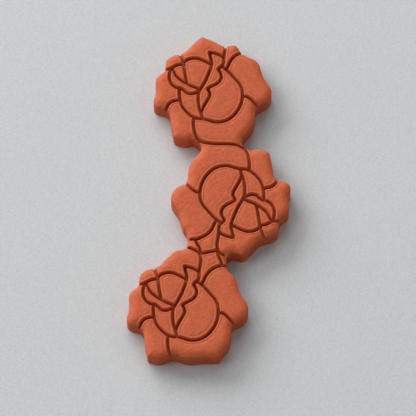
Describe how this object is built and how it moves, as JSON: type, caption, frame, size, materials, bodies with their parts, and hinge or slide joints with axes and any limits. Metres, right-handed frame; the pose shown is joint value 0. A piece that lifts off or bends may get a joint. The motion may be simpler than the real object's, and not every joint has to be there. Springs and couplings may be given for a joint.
{
  "type": "polymer clay rose chain cut-out",
  "caption": "Flat clay cut-out of rose heads joined in a chain, with the petals drawn by impressed lines, a rounded shoulder along the outline and a plain flat underside.",
  "frame": {"origin": "middle of the outline's bounding box, on the flat underside", "axes": "+Z out of the impressed face, +Y along the chain towards the top rose, +X to the right seen from above with +Y up"},
  "size_m": [0.0232, 0.051, 0.003],
  "materials": {
    "clay": "matte"
  },
  "bodies": {
    "root": {"clay_base": "clay", "top_rose_top_petal": "clay", "top_rose_small_upper_left_petal": "clay", "top_rose_left_petal": "clay", "top_rose_pointed_lower_left_petal": "clay", "top_rose_lower_petal": "clay", "top_rose_right_petal": "clay", "top_rose_small_upper_right_petal": "clay", "top_rose_bud": "clay", "top_rose_bud_leaf": "clay", "top_rose_sepal": "clay", "top_rose_flame": "clay", "top_rose_inner_left_petal": "clay", "top_rose_inner_right_petal": "clay", "middle_rose_top_petal": "clay", "middle_rose_small_upper_left_petal": "clay", "middle_rose_left_petal": "clay", "middle_rose_pointed_lower_left_petal": "clay", "middle_rose_lower_petal": "clay", "middle_rose_right_petal": "clay", "middle_rose_small_upper_right_petal": "clay", "middle_rose_bud": "clay", "middle_rose_bud_leaf": "clay", "middle_rose_sepal": "clay", "middle_rose_flame": "clay", "middle_rose_inner_left_petal": "clay", "middle_rose_inner_right_petal": "clay", "bottom_rose_top_petal": "clay", "bottom_rose_small_upper_left_petal": "clay", "bottom_rose_left_petal": "clay", "bottom_rose_pointed_lower_left_petal": "clay", "bottom_rose_lower_petal": "clay", "bottom_rose_right_petal": "clay", "bottom_rose_small_upper_right_petal": "clay", "bottom_rose_bud": "clay", "bottom_rose_bud_leaf": "clay", "bottom_rose_sepal": "clay", "bottom_rose_flame": "clay", "bottom_rose_inner_left_petal": "clay", "bottom_rose_inner_right_petal": "clay", "neck_slip_left": "clay", "neck_slip_right": "clay"}
  },
  "joints": []
}
